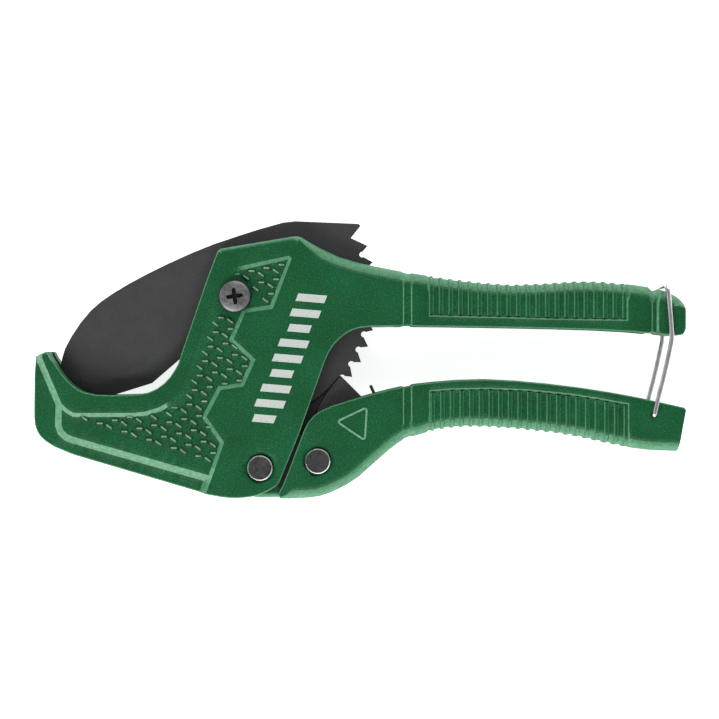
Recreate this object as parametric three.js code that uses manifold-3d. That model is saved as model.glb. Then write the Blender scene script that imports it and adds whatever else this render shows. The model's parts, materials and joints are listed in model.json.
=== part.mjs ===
// Ratchet cutter for plastic pipe, lying on its side.
// X runs from the jaw to the handle ends, Y across the tool and Z up through its thickness.
// The drawing's mid-plane is z = 0, and the finished group is raised until it stands on z = 0.
import * as THREE from 'three';
import { mergeVertices } from 'three/addons/utils/BufferGeometryUtils.js';
import Module from 'manifold-3d';

const wasm = await Module();
wasm.setup();

// ---- driving dimensions, mm and degrees ----
const HALF = 8; // half the thickness of both castings
const BLADE_HALF = 1.5;
const BLADE_SLOT_HALF = 2.4;
const TONGUE_SLOT_HALF = 5.3;
const TONGUE = [3.1, 5.0]; // inner and outer face of each tongue ear
const CHANNEL_HALF = 5; // half the width of the hollow inside each handle
const WEB = 4; // wall left along each handle's outer edge
const PAWL_HALF = 2.8;
const GAP = 0.3; // clearance between neighbouring pieces
const SEAT = HALF + 0.1; // where a head or washer meets a casting's face
const RUNNING = 0.1; // radial clearance of a turning fit
const PRESS = 0.05; // radial clearance of a pressed fit
const SPOT_FACE_DEPTH = 0.3; // shallow recess in the casting round each head and washer

const BLADE_PIVOT = [-36.8, 18.65];
const HANDLE_PIVOT = [-29.4, -32.05];
const PAWL_PIVOT = [-12.35, -30.05];
const BAIL_PIVOT = [87, -16.5];

const TOOTH = { count: 9, first: 21.4, pitch: 7, drop: 2.4, tipR: 42.1, gulletR: 39 };
const RIM_CLEAR_R = 43.3; // the slot's radius about the blade pivot
const PAWL_RIM_R = 43; // the groove that lets the toothed rim pass through the pawl
const BLADE_TIP_CLEAR_R = 58;
const JAW_SLOT_FLOOR_Y = -15.5;
const TONGUE_R = 9.1;

const SCREW_R = 2.5;
const SCREW_HEAD_R = 4.85;
const SCREW_HEAD_HEIGHT = 2.1;
const SCREW_CROSS = { arm: 2.4, width: 0.6, depth: 1.5 };
const BUSHING_R = 3.9;
const BLADE_WASHER_R = 9.4;
const LOCK_WASHER_R = 4.6;
const NUT_R = 4.6;
const NUT_HEIGHT = 2.4;
const SPRING_POCKET = { r: 8.6, floor: 5.2 };
const NUT_POCKET = { r: 5.4, floor: 4.5 };
const HANDLE_PIN_R = 2.9;
const PAWL_PIN_R = 2.2;
const PIN_HEAD_R = 3.75;
const PIN_HEAD_HEIGHT = 0.8;
const HANDLE_WASHER_R = 4.6;
const PAWL_WASHER_R = 4;
const PIN_WASHER_HEIGHT = 0.8;
const SLEEVE_R = 4.1;
const PIN_END = 1.85; // how far the pins stand out of the far face; the tool lies on them
const PAWL_SPRING_SEAT = { r: 5.9, z: 0.7 };
const BAIL_WIRE_R = 0.75;
const BAIL_LEG_Z = 9.05;
const BAIL_HOLE_DEPTH = 3.6;

const rad = THREE.MathUtils.degToRad;

// ---- materials ----
function finish(color, roughness, metalness) {
  return new THREE.MeshStandardMaterial({ color, roughness, metalness });
}


const green = () => finish(0x1f6440, 0.55, 0.2);
const coated = () => finish(0x434240, 0.5, 0.5);
const steel = () => finish(0x8c8e8f, 0.35, 1);
const darkSteel = () => finish(0x464846, 0.45, 0.8);
const bright = () => finish(0xc9cbcc, 0.2, 1);

// ---- solids ----
function solid(geometry) {
  geometry.deleteAttribute('normal');
  geometry.deleteAttribute('uv');
  const merged = mergeVertices(geometry, 1e-4);
  return new wasm.Manifold(new wasm.Mesh({
    numProp: 3,
    vertProperties: new Float32Array(merged.attributes.position.array),
    triVerts: new Uint32Array(merged.index.array),
  }));
}

const join = (first, ...others) => others.reduce((all, one) => all.add(one), first);
const cut = (first, ...others) => others.reduce((left, one) => left.subtract(one), first);

// Draws straight runs and smooth curves one after another.
function outline(start, ...runs) {
  const shape = new THREE.Shape();
  shape.moveTo(...start);
  for (const [kind, ...points] of runs) {
    if (kind === 'line') points.forEach((point) => shape.lineTo(...point));
    else shape.splineThru(points.map((point) => new THREE.Vector2(...point)));
  }
  return shape;
}

function slab(shape, low, high, shift = [0, 0], curveSegments = 2) {
  const depth = high - low;
  const geometry = new THREE.ExtrudeGeometry(shape, { depth, bevelEnabled: false, curveSegments });
  return solid(geometry.translate(shift[0], shift[1], low));
}

function disc([x, y], radius, low, high, sides = 48) {
  const geometry = new THREE.CylinderGeometry(radius, radius, high - low, sides);
  return solid(geometry.rotateX(Math.PI / 2).translate(x, y, (low + high) / 2));
}

function ring(centre, inner, outer, low, high, sides = 40) {
  return cut(disc(centre, outer, low, high, sides), disc(centre, inner, low - 1, high + 1, sides));
}

function block([x0, y0, z0], [x1, y1, z1]) {
  const geometry = new THREE.BoxGeometry(x1 - x0, y1 - y0, z1 - z0);
  return solid(geometry.translate((x0 + x1) / 2, (y0 + y1) / 2, (z0 + z1) / 2));
}

// A profile of [radius, z] points turned about a line parallel to Z.
function turned([x, y], profile, sides = 40) {
  const geometry = new THREE.LatheGeometry(profile.map((point) => new THREE.Vector2(...point)), sides);
  return solid(geometry.rotateX(Math.PI / 2).translate(x, y, 0));
}

function wire(points, radius, steps, sides = 8) {
  const section = new THREE.Shape();
  section.absarc(0, 0, radius, 0, 2 * Math.PI);
  const stations = points.map((point) => new THREE.Vector3(...point));
  const path = new THREE.CatmullRomCurve3(stations, false, 'centripetal');
  return solid(new THREE.ExtrudeGeometry(section, { steps, extrudePath: path, curveSegments: sides / 2 }));
}

function polar([x, y], radius, degrees) {
  return [x + radius * Math.cos(rad(degrees)), y + radius * Math.sin(rad(degrees))];
}

function spotFaces(centre, nearR, farR) {
  return [
    disc(centre, nearR + GAP, HALF - SPOT_FACE_DEPTH, HALF + 1),
    disc(centre, farR + GAP, -HALF - 1, -HALF + SPOT_FACE_DEPTH),
  ];
}

const tool = new THREE.Group();

function place(name, piece, material) {
  const { vertProperties, triVerts, numProp } = piece.getMesh();
  const geometry = new THREE.BufferGeometry();
  const positions = new Float32Array((vertProperties.length / numProp) * 3);
  for (let i = 0; i < positions.length / 3; i += 1) {
    positions.set(vertProperties.subarray(i * numProp, i * numProp + 3), i * 3);
  }
  geometry.setAttribute('position', new THREE.BufferAttribute(positions, 3));
  geometry.setIndex(new THREE.BufferAttribute(new Uint32Array(triVerts), 1));
  geometry.computeVertexNormals();
  const mesh = new THREE.Mesh(geometry, material);
  mesh.name = name;
  tool.add(mesh);
}

// ---- body casting: jaw, plate and upper handle in one ----
const bodyOutline = outline(
  [-92.7, 2.4],
  ['curve', [-94, 1.9], [-96.1, 0.9]],
  ['line', [-96.5, -5], [-96.6, -17]],
  ['curve', [-96.2, -20], [-95, -22.5], [-93, -24.4], [-90.5, -26]],
  ['line', [-85, -28.3], [-46, -39.8]],
  ['curve', [-40, -40.9], [-35, -41], [-30, -40.2], [-25, -37.8], [-23.5, -36]],
  ['line', [-18, -22.5], [-10.2, -0.5]],
  ['curve', [-8.5, 3], [-6, 6], [-3, 8.2], [0, 9.3], [4, 9.7]],
  ['curve', [20, 9.7], [48, 9.3], [75, 8.5], [93, 7]],
  ['curve', [94.5, 7.1], [95.8, 7.5], [96.6, 9.2]],
  ['line', [96.6, 14]],
  ['curve', [96.4, 16], [95.5, 17.8], [94, 19], [91, 20.4]],
  ['curve', [85, 21.8], [75, 23], [65, 23.4], [45, 22.4], [25, 24.4], [8, 27.1], [-5, 30.2], [-15, 34.9]],
  ['curve', [-17, 36.1], [-18.5, 36.5], [-20, 36.4]],
  ['line', [-41.2, 32.8], [-42, 32], [-44.7, 25], [-53.2, 0.3]],
  ['curve', [-54, -2], [-57.5, -6.8], [-63, -9.9], [-72, -10.5], [-78, -10.4]],
  ['curve', [-82.5, -9.2], [-87, -5.5], [-91.3, 0.8]],
  ['line', [-92, 2.2]],
);

function bladeSlot() {
  const rim = disc(BLADE_PIVOT, RIM_CLEAR_R, -BLADE_SLOT_HALF, BLADE_SLOT_HALF, 96);
  const reach = disc(BLADE_PIVOT, BLADE_TIP_CLEAR_R, -BLADE_SLOT_HALF, BLADE_SLOT_HALF, 128);
  const jawSide = block([-100, JAW_SLOT_FLOOR_Y, -HALF], [BLADE_PIVOT[0], 60, HALF]);
  return join(rim, reach.intersect(jawSide));
}

function tongueSlot() {
  const mouth = new THREE.Shape([[-33.5, -23.4], [-24, -8], [0, -2], [0, -46], [-29.4, -46]]
    .map((point) => new THREE.Vector2(...point)));
  return join(
    disc(HANDLE_PIVOT, TONGUE_R + 0.5, -TONGUE_SLOT_HALF, TONGUE_SLOT_HALF),
    slab(mouth, -TONGUE_SLOT_HALF, TONGUE_SLOT_HALF),
  );
}

function bodyCasting() {
  const hollow = slab(bodyOutline, -CHANNEL_HALF, CHANNEL_HALF, [0, -WEB])
    .intersect(block([10, -10, -HALF], [86, 40, HALF]));
  return cut(
    slab(bodyOutline, -HALF, HALF),
    bladeSlot(),
    tongueSlot(),
    hollow,
    disc(BLADE_PIVOT, SCREW_R + RUNNING, -HALF - 1, HALF + 1),
    disc(BLADE_PIVOT, SPRING_POCKET.r, 0, SPRING_POCKET.floor),
    disc(BLADE_PIVOT, NUT_POCKET.r, -HALF - 1, -NUT_POCKET.floor),
    disc(HANDLE_PIVOT, HANDLE_PIN_R + RUNNING, -HALF - 1, HALF + 1),
    ...spotFaces(HANDLE_PIVOT, PIN_HEAD_R, HANDLE_WASHER_R),
  );
}

// ---- lower handle: two walls, an outer web and a forked tongue ----
const handleOutline = outline(
  [-24.2, -40],
  ['curve', [-22, -35.5], [-18, -25], [-15, -18.2], [-10, -14.4], [0, -11.2]],
  ['curve', [10, -8.6], [20, -6.9], [38, -5.9], [60, -7.6], [80, -10.7], [96, -14.2]],
  ['line', [96.5, -15], [95.4, -21], [94.3, -27.3]],
  ['curve', [85, -26.9], [75, -25.3], [60, -22.2], [38, -20.2], [25, -20.7], [15, -23.3], [10, -26],
    [0, -34.8]],
  ['curve', [-5, -38], [-12, -40.8], [-20, -41.4], [-23.4, -41.1]],
);

function tongueEar(low, high) {
  const root = outline(
    polar(HANDLE_PIVOT, TONGUE_R - 0.2, 75),
    ['line', [-12, -22], [-12, -40], [-20, -41], polar(HANDLE_PIVOT, TONGUE_R - 0.1, -95)],
  );
  return join(disc(HANDLE_PIVOT, TONGUE_R, low, high), slab(root, low, high));
}

function pawlBay() {
  const bay = new THREE.Shape([[-46, -50], [-21, -50], [-19, -36.6], [-6, -36.4], [3, -26], [3, 10], [-46, 10]]
    .map((point) => new THREE.Vector2(...point)));
  return slab(bay, -TONGUE[0], TONGUE[0]);
}

function lowerHandle() {
  const hollow = slab(handleOutline, -CHANNEL_HALF, CHANNEL_HALF, [0, WEB])
    .intersect(block([2, -40, -HALF], [82, 10, HALF]));
  const ears = [tongueEar(TONGUE[0] - 1, TONGUE[1]), tongueEar(-TONGUE[1], -TONGUE[0] + 1)];
  const bailHoles = [1, -1].map((side) => disc(
    BAIL_PIVOT,
    BAIL_WIRE_R + RUNNING,
    Math.min(side * (HALF - BAIL_HOLE_DEPTH), side * (HALF + 1)),
    Math.max(side * (HALF - BAIL_HOLE_DEPTH), side * (HALF + 1)),
    24,
  ));
  return cut(
    join(slab(handleOutline, -HALF, HALF), ...ears),
    hollow,
    pawlBay(),
    ...bailHoles,
    disc(HANDLE_PIVOT, HANDLE_PIN_R + RUNNING, -HALF, HALF),
    disc(PAWL_PIVOT, PAWL_PIN_R + RUNNING, -HALF - 1, HALF + 1),
    ...spotFaces(PAWL_PIVOT, PIN_HEAD_R, PAWL_WASHER_R),
  );
}

// ---- blade: cutting edge, back and toothed rim ----
function bladeOutline() {
  const teeth = [];
  for (let i = 0; i < TOOTH.count; i += 1) {
    const angle = TOOTH.first - i * TOOTH.pitch;
    teeth.push(polar(BLADE_PIVOT, TOOTH.tipR, angle), polar(BLADE_PIVOT, TOOTH.gulletR, angle - TOOTH.drop));
  }
  const rootArc = [-44, -50, -56, -60].map((angle) => polar(BLADE_PIVOT, TOOTH.gulletR, angle));
  const inside = [[35, -58.5], [28, -56.5], [22, -62], [16.5, -75], [11.3, -95], [12.4, -113]]
    .map(([radius, angle]) => polar(BLADE_PIVOT, radius, angle));
  return outline(
    [-89.6, -3.5],
    ['curve', [-89.3, -1], [-87.2, 5.1], [-80.9, 14.1], [-73.1, 20.2], [-60.7, 27], [-45.5, 33.8],
      [-30.3, 38.9]],
    ['line', [-22.8, 41], [-19.2, 41.4], [-0.3, 40.6], [0.3, 40]],
    ['line', polar(BLADE_PIVOT, 38.5, 27.4), ...teeth, ...rootArc],
    ['curve', ...inside, [-47, 5.4]],
    ['line', [-53.9, 0], [-62.1, -7.1], [-72, -10.2], [-79, -12.4]],
    ['curve', [-84.6, -11.2], [-88, -7.6], [-89.2, -5.2]],
  );
}

function blade() {
  return cut(
    slab(bladeOutline(), -BLADE_HALF, BLADE_HALF),
    disc(BLADE_PIVOT, BUSHING_R + RUNNING, -HALF, HALF),
  );
}

// ---- blade pivot ----
function bladeScrew() {
  const top = SEAT + SCREW_HEAD_HEIGHT;
  const end = -HALF + GAP;
  const body = turned(BLADE_PIVOT, [
    [0, end], [SCREW_R - 0.4, end], [SCREW_R, end + 0.4], [SCREW_R, SEAT],
    [SCREW_HEAD_R, SEAT], [SCREW_HEAD_R, SEAT + 0.9], [SCREW_HEAD_R - 0.5, SEAT + 1.5],
    [3, top - 0.1], [0, top],
  ]);
  const { arm, width } = SCREW_CROSS;
  const deep = top - SCREW_CROSS.depth;
  const [x, y] = BLADE_PIVOT;
  return cut(
    body,
    block([x - arm, y - width, deep], [x + arm, y + width, top + 1]),
    block([x - width, y - arm, deep], [x + width, y + arm, top + 1]),
  );
}

function hexNut(low, high) {
  return cut(disc(BLADE_PIVOT, NUT_R, low, high, 6), disc(BLADE_PIVOT, SCREW_R + PRESS, low - 1, high + 1));
}

const coil = (centre, radius, wireR, low, high) => ring(centre, radius - wireR, radius + wireR, low, high);

function leg(from, to, radius) {
  return wire([from, to], radius, 1);
}

function bladeSpring() {
  const [x, y] = BLADE_PIVOT;
  return join(
    coil(BLADE_PIVOT, 5.6, 0.6, 2.8, 4.8),
    leg([x + 5.6, y, 3.4], [x + 8, y + 0.4, 3.4], 0.45),
  );
}

// ---- handle pivot, pawl and bail ----
function pin(centre, shankR, headR, farEnd) {
  const top = SEAT + PIN_HEAD_HEIGHT;
  return turned(centre, [
    [0, -farEnd], [shankR - 0.4, -farEnd], [shankR, -farEnd + 0.4], [shankR, SEAT],
    [headR, SEAT], [headR, top - 0.45], [headR - 0.45, top], [0, top],
  ]);
}

function handleSpring() {
  const [x, y] = HANDLE_PIVOT;
  return join(
    coil(HANDLE_PIVOT, 5.3, 0.75, -2.2, 2.2),
    leg([x + 4.6, y - 2.6, -1.4], [x + 9, y - 5.8, -1.4], 0.7),
  );
}

// The long leg runs up behind the pawl's heel and ends in a short upturned tip.
function pawlSpring() {
  const z = 1.8;
  const longLeg = [
    [-9.2, -31.8, z], [-5.6, -29.4, z], [4.8, -14.6, z], [5.2, -12.8, z], [4.3, -10, z], [3.3, -7.8, z],
  ];
  return join(
    coil(PAWL_PIVOT, 3.4, 0.5, 1, 2.7),
    leg(polar(PAWL_PIVOT, 3.4, 180).concat(z), [-15.6, -35.2, z], 0.5),
    wire(longLeg, 0.5, 16),
  );
}

const pawlOutline = outline(
  [-5.1, -5.6],
  ['line', [3, -13.3]],
  ['curve', [1.6, -17.5], [-3.5, -24.5], [-7.4, -30]],
  ['curve', polar(PAWL_PIVOT, 5, -45), polar(PAWL_PIVOT, 5, -90), polar(PAWL_PIVOT, 5, -135), [-17.6, -29]],
  ['curve', [-18.6, -24], [-16.5, -18.5], [-12.2, -12.6]],
);

function pawl() {
  return cut(
    slab(pawlOutline, -PAWL_HALF, PAWL_HALF),
    disc(BLADE_PIVOT, PAWL_RIM_R, -BLADE_HALF - GAP, BLADE_HALF + GAP, 96),
    disc(BLADE_PIVOT, TOOTH.gulletR + 0.6, -HALF, HALF, 96),
    disc(PAWL_PIVOT, PAWL_PIN_R + RUNNING, -HALF, HALF),
    disc(PAWL_PIVOT, PAWL_SPRING_SEAT.r, PAWL_SPRING_SEAT.z, HALF),
  );
}

function latchBail() {
  const [x, y] = BAIL_PIVOT;
  const hidden = HALF - BAIL_HOLE_DEPTH + 0.4;
  const z = BAIL_LEG_Z;
  const near = [
    [x, y, hidden], [x, y, z - 1.4], [x, y, z - 0.5], [x + 0.1, y + 0.6, z], [x + 0.3, y + 1.6, z],
    [88.2, -11, z], [89.5, -6, z], [90.9, 0, z], [91.9, 4.6, z], [92.1, 6, z], [92, 8, z],
    [91.6, 14, z], [91.1, 19.4, z], [90.8, 21, z - 0.3], [90.5, 21.75, z - 1.1], [90.4, 21.85, z - 2.4],
  ];
  const far = near.map(([px, py, pz]) => [px, py, -pz]).reverse();
  return wire([...near, [90.4, 21.85, 0], ...far], BAIL_WIRE_R, 84);
}

// ---- the assembly ----
place('body_casting', bodyCasting(), green());
place('lower_handle', lowerHandle(), green());
place('blade', blade(), coated());
place('blade_screw', bladeScrew(), steel());
place(
  'blade_bushing',
  ring(BLADE_PIVOT, SCREW_R + PRESS, BUSHING_R, -BLADE_SLOT_HALF + 0.15, SPRING_POCKET.floor - RUNNING),
  steel(),
);
for (const [side, sign] of [['near', 1], ['far', -1]]) {
  const faces = [sign * (BLADE_HALF + 0.1), sign * (BLADE_SLOT_HALF - 0.15)].sort((a, b) => a - b);
  place(`blade_washer_${side}`, ring(BLADE_PIVOT, BUSHING_R + RUNNING, BLADE_WASHER_R, ...faces), steel());
}
place('blade_spring', bladeSpring(), steel());
const nutTop = -HALF + 0.1 + NUT_HEIGHT;
const lockWasher = ring(BLADE_PIVOT, SCREW_R + RUNNING, LOCK_WASHER_R, nutTop + 0.1, -NUT_POCKET.floor - 0.1);
place('blade_lock_washer', lockWasher, darkSteel());
place('blade_nut', hexNut(nutTop - NUT_HEIGHT, nutTop), darkSteel());
place('handle_pin', pin(HANDLE_PIVOT, HANDLE_PIN_R, PIN_HEAD_R, HALF + PIN_END), darkSteel());
const pinWasher = (centre, bore, outer) => ring(centre, bore + PRESS, outer, -SEAT - PIN_WASHER_HEIGHT, -SEAT);
place('handle_pin_washer', pinWasher(HANDLE_PIVOT, HANDLE_PIN_R, HANDLE_WASHER_R), darkSteel());
const sleeveHalf = TONGUE[0] - 0.1;
place('handle_sleeve', ring(HANDLE_PIVOT, HANDLE_PIN_R + RUNNING, SLEEVE_R, -sleeveHalf, sleeveHalf), steel());
place('handle_spring', handleSpring(), steel());
place('pawl', pawl(), coated());
place('pawl_spring', pawlSpring(), darkSteel());
place('pawl_pin', pin(PAWL_PIVOT, PAWL_PIN_R, PIN_HEAD_R, HALF + PIN_END), darkSteel());
place('pawl_pin_washer', pinWasher(PAWL_PIVOT, PAWL_PIN_R, PAWL_WASHER_R), darkSteel());
place('latch_bail', latchBail(), bright());

tool.position.z = HALF + PIN_END;

export default tool;
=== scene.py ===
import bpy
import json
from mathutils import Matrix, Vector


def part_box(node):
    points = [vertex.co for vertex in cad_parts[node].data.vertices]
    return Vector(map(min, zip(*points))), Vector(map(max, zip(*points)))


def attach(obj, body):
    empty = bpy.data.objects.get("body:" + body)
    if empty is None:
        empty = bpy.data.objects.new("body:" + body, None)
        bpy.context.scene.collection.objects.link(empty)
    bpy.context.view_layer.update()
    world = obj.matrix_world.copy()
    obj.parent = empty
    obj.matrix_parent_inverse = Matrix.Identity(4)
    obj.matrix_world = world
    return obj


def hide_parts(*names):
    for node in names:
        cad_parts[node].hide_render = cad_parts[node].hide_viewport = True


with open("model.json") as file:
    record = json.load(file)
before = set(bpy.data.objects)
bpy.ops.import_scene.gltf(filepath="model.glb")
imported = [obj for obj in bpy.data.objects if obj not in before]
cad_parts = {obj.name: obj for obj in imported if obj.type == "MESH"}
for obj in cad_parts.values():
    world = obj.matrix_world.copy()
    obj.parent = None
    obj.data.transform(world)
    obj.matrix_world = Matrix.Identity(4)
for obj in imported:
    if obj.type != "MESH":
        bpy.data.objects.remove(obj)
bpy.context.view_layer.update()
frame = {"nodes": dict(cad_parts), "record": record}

import json
import math

import bmesh
import bpy
import numpy as np
from mathutils import Vector
from mathutils.geometry import delaunay_2d_cdt

# Lengths here are millimetres in the drawing plane, with z measured from the castings' mid-plane.
MM = 0.001
casting_low, casting_high = (np.array(corner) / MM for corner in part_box("body_casting"))
MID = (casting_low[2] + casting_high[2]) / 2
HALF = (casting_high[2] - casting_low[2]) / 2
SKIN = 0.03  # how far a casting's visible surface stays inside its CAD solid
PIVOT = {j["name"]: np.array(j["pos_m"][:2]) / MM for j in frame["record"]["behaviour"]["joints"]}
SCREW = PIVOT["blade_swing"]
HANDLE_PIN = PIVOT["handle_swing"]
PAWL_PIN = PIVOT["pawl_swing"]
BAIL = PIVOT["bail_swing"]


def node_span(node):
    """A CAD node's corners, with z from the mid-plane."""
    return tuple(np.array(corner) / MM - (0, 0, MID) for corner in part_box(node))


def half_thickness(node):
    (_, _, bottom), (_, _, top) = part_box(node)
    return (top - bottom) / 2 / MM


# ---------------------------------------------------------------- materials

def grey(value):
    return (value, value, value)


class Nodes:
    """A new material and short calls that add nodes to it."""

    def __init__(self, name):
        self.material = bpy.data.materials.new(name)
        self.material.use_nodes = True
        self.tree = self.material.node_tree
        self.link = self.tree.links.new
        self.shader = self.tree.nodes["Principled BSDF"]
        self.place = self.add("TexCoord").outputs["Object"]

    def add(self, kind, **values):
        node = self.tree.nodes.new("ShaderNode" + kind)
        for key, value in values.items():
            if key in node.inputs:
                node.inputs[key].default_value = value
            else:
                setattr(node, key, value)
        return node

    def noise(self, scale, detail=3.0):
        node = self.add("TexNoise", Scale=scale, Detail=detail, Roughness=0.6)
        self.link(self.place, node.inputs["Vector"])
        return node.outputs["Fac"]

    def ramp(self, source, stops):
        """Colours read off a list of (position, colour) stops."""
        node = self.add("ValToRGB")
        points = node.color_ramp.elements
        while len(points) < len(stops):
            points.new(0.5)
        for point, (at, colour) in zip(points, stops):
            point.position = at
            point.color = (*colour, 1)
        self.link(source, node.inputs["Fac"])
        return node.outputs["Color"]

    def mix(self, factor, first, second, blend="MIX"):
        node = self.add("Mix", data_type="RGBA", blend_type=blend)
        for socket, value in ((node.inputs[0], factor), (node.inputs[6], first), (node.inputs[7], second)):
            if isinstance(value, bpy.types.NodeSocket):
                self.link(value, socket)
            else:
                socket.default_value = value
        return node.outputs[2]

    def finish(self, colour, roughness, grain, distance, strength):
        """Joins up the surface; grain is the bump's height and distance its full scale in metres."""
        self.link(colour, self.shader.inputs["Base Color"])
        if roughness:
            self.link(roughness, self.shader.inputs["Roughness"])
        node = self.add("Bump", Distance=distance, Strength=strength)
        self.link(grain, node.inputs["Height"])
        self.link(node.outputs["Normal"], self.shader.inputs["Normal"])
        return self.material


def green_paint(name, highlight_range=(0, 1), highlight_tone=(0.15, 0.40, 0.225), shade=1.0):
    """Powder coat on a casting: fine speckle, faint mottling, and a painted highlight that makes it lighter
    where the surface slopes.

    The second argument is the least and the most that the painted highlight's lighter tone, the third
    argument, shows; shade darkens the coat.
    """
    nodes = Nodes(name)
    mottle = nodes.ramp(nodes.noise(70), [(0.3, (0.002, 0.078, 0.022)), (0.75, (0.005, 0.112, 0.037))])
    grains = [(0.3, grey(0.45 * shade)), (0.6, grey(shade)), (0.78, grey(2.2 * shade))]
    coat = nodes.mix(1.0, mottle, nodes.ramp(nodes.noise(2300, 2), grains), "MULTIPLY")
    facing = nodes.add("SeparateXYZ")
    nodes.link(nodes.add("NewGeometry").outputs["True Normal"], facing.inputs[0])
    tilt = nodes.add("Math", operation="ABSOLUTE")
    nodes.link(facing.outputs["Z"], tilt.inputs[0])
    # Painted highlight: faces that tilt away from flat take the lighter tone, most at middling slopes, in
    # random patches.
    tones = [(0.0, 0.3), (0.3, 0.8), (0.55, 1), (0.84, 0.85), (0.95, 0.12), (0.985, 0)]
    slopes = nodes.ramp(tilt.outputs[0], [(at, grey(np.clip(tone, *highlight_range))) for at, tone in tones])
    highlight_patches = nodes.ramp(nodes.noise(900), [(0.25, grey(0.35)), (0.7, grey(0.75))])
    coat_with_highlight = nodes.mix(nodes.mix(1.0, slopes, highlight_patches, "MULTIPLY"), coat, (*highlight_tone, 1))
    rough = nodes.ramp(nodes.noise(400), [(0.3, grey(0.46)), (0.7, grey(0.62))])
    nodes.shader.inputs["Specular IOR Level"].default_value = 0.22
    return nodes.finish(coat_with_highlight, rough, nodes.noise(1700), 0.00012, 0.4)


def dark_coat(name, dark, light, speck, shade_fade=None):
    """Matt dark coating with fine specks and clouded tone.

    fade is painted shade that darkens it towards lower y, given as (darkest at, full tone at, least share of
    the tone).
    """
    nodes = Nodes(name)
    clouds = nodes.ramp(nodes.noise(60), [(0.3, dark), (0.7, light)])
    specks = nodes.ramp(nodes.noise(1600, 4), [(0.3, grey(1 - speck)), (0.7, grey(1 + speck))])
    tone = nodes.mix(1.0, clouds, specks, "MULTIPLY")
    # painted shade: the tone falls off towards lower y
    if shade_fade:
        darkest, full, least = shade_fade
        split = nodes.add("SeparateXYZ")
        nodes.link(nodes.place, split.inputs[0])
        reach = nodes.add("MapRange")
        nodes.link(split.outputs["Y"], reach.inputs["Value"])
        limits = {"From Min": darkest * MM, "From Max": full * MM, "To Min": least, "To Max": 1}
        for socket, value in limits.items():
            reach.inputs[socket].default_value = value
        tone = nodes.mix(1.0, tone, reach.outputs[0], "MULTIPLY")
    nodes.shader.inputs["Metallic"].default_value = 0.2
    rough = nodes.ramp(nodes.noise(300), [(0.3, grey(0.45)), (0.7, grey(0.6))])
    return nodes.finish(tone, rough, nodes.noise(1600, 4), 0.00005, 0.3)


def metal(name, dark, light, rough):
    """Bare or blackened steel with clouded tone and a fine grain."""
    nodes = Nodes(name)
    tone = nodes.ramp(nodes.noise(500), [(0.3, dark), (0.7, light)])
    nodes.shader.inputs["Metallic"].default_value = 1.0
    spread = nodes.ramp(nodes.noise(1000), [(0.3, grey(rough * 0.8)), (0.7, grey(rough * 1.25))])
    return nodes.finish(tone, spread, nodes.noise(2500), 0.00003, 0.3)


def print_ink():
    """White printed marking, slightly broken where the coat's grain shows through."""
    nodes = Nodes("print_ink")
    tone = nodes.ramp(nodes.noise(1500, 4), [(0.3, (0.30, 0.40, 0.33)), (0.42, (0.50, 0.54, 0.51))])
    nodes.shader.inputs["Roughness"].default_value = 0.5
    return nodes.finish(tone, None, nodes.noise(1500), 0.00005, 0.3)


GREEN = green_paint("green_paint")
# A lighter green that shows its painted highlight on nearly every face, for ridges and bevels that catch the
# light.
PAINTED_HIGHLIGHT_GREEN = green_paint("green_painted_highlight", (0.95, 1), (0.25, 0.53, 0.34))
# A darker green without highlight, painted shadow round the pocket's strokes.
PAINTED_SHADOW_GREEN = green_paint("green_painted_shadow", (0, 0), shade=0.55)
# The blade's dark coat, with painted shade darkening it towards lower y.
BLADE_COAT_AND_SHADE = dark_coat("blade_coat_and_shade", grey(0.035), (0.043, 0.043, 0.044), 0.12, (-8, 8, 0.86))
# Near-black painted shade for edges, recesses and gaps.
PAINTED_SHADE_BLACK = dark_coat("blade_edge", grey(0.006), grey(0.010), 0.2)
PAWL_COAT = dark_coat("pawl_coat", (0.030, 0.028, 0.029), (0.048, 0.045, 0.046), 0.45)
SCREW_STEEL = metal("screw_steel", grey(0.13), grey(0.24), 0.5)
PIN_FACE = metal("pin_face", grey(0.06), grey(0.09), 0.5)
BRIGHT = metal("bright_steel", grey(0.55), grey(0.72), 0.2)
DARK_WIRE = metal("dark_wire", grey(0.05), grey(0.10), 0.4)
INK = print_ink()


# ---------------------------------------------------------------- plane geometry

def as_array(points):
    return np.array(points, dtype=float)


def polar(centre, radius, degrees):
    angle = math.radians(degrees)
    return (centre[0] + radius * math.cos(angle), centre[1] + radius * math.sin(angle))


def line_distance(points, line, closed=True):
    """Distance from each point to a polyline."""
    points, line = as_array(points), as_array(line)
    ends = np.roll(line, -1, axis=0) if closed else line[1:]
    starts = line if closed else line[:-1]
    best = np.full(len(points), 1e9)
    for a, b in zip(starts, ends):
        along = b - a
        share = np.clip(((points - a) @ along) / max(along @ along, 1e-12), 0, 1)
        best = np.minimum(best, np.linalg.norm(points - a - share[:, None] * along, axis=1))
    return best


def inside(points, loop):
    """Whether each point lies inside a closed loop."""
    points, loop = as_array(points), as_array(loop)
    x, y = points[:, 0], points[:, 1]
    result = np.zeros(len(points), dtype=bool)
    for (x0, y0), (x1, y1) in zip(loop, np.roll(loop, -1, axis=0)):
        if y0 != y1:
            crosses = (y0 > y) != (y1 > y)
            result ^= crosses & (x < (x1 - x0) * (y - y0) / (y1 - y0) + x0)
    return result


def depth_in(points, loop):
    """Distance inside a closed loop, negative outside it."""
    return np.where(inside(points, loop), 1.0, -1.0) * line_distance(points, loop)


def slope(distance, width):
    """Rises from 0 to 1 over a width."""
    return np.clip(distance / width, 0, 1)


def resample(line, step, closed=True):
    """Splits every segment into equal lengths no longer than step."""
    line = as_array(line)
    ends = np.roll(line, -1, axis=0) if closed else line[1:]
    starts = line if closed else line[:-1]
    result = []
    for a, b in zip(starts, ends):
        count = max(1, math.ceil(np.linalg.norm(b - a) / step))
        result += [a + (b - a) * i / count for i in range(count)]
    if not closed:
        result.append(line[-1])
    return as_array(result)


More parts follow.
